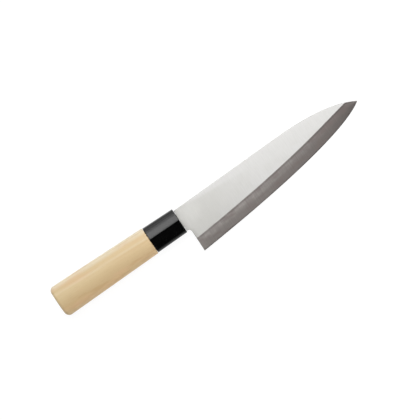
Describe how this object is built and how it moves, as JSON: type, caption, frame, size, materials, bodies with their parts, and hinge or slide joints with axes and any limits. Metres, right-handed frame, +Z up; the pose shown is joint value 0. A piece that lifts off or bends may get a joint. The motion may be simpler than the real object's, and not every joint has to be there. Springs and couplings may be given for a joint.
{
  "type": "gyuto knife",
  "caption": "Japanese cook's knife: a bevelled steel blade with a hidden stick tang, a black plastic ferrule and a pale wooden handle with a ridge on its right side.",
  "frame": {"origin": "on the table, midway along and across the knife as it lies on its left side", "axes": "+X from the handle's butt towards the blade's point, +Y towards the spine, +Z up from the table, out of the blade's right side. The knife lies as it comes to rest, on the ferrule's front rim and on the edge near the point, so its own axes are turned by about 10 degrees about X and 2.6 degrees about Y."},
  "size_m": [0.305, 0.046, 0.0261],
  "materials": {
    "steel": "satin",
    "ferrule_plastic": "gloss",
    "handle_wood": "satin",
    "tang_resin": "satin"
  },
  "bodies": {
    "root": {"blade": "steel", "ferrule": "ferrule_plastic", "handle": "handle_wood", "tang_resin": "tang_resin"}
  },
  "joints": []
}
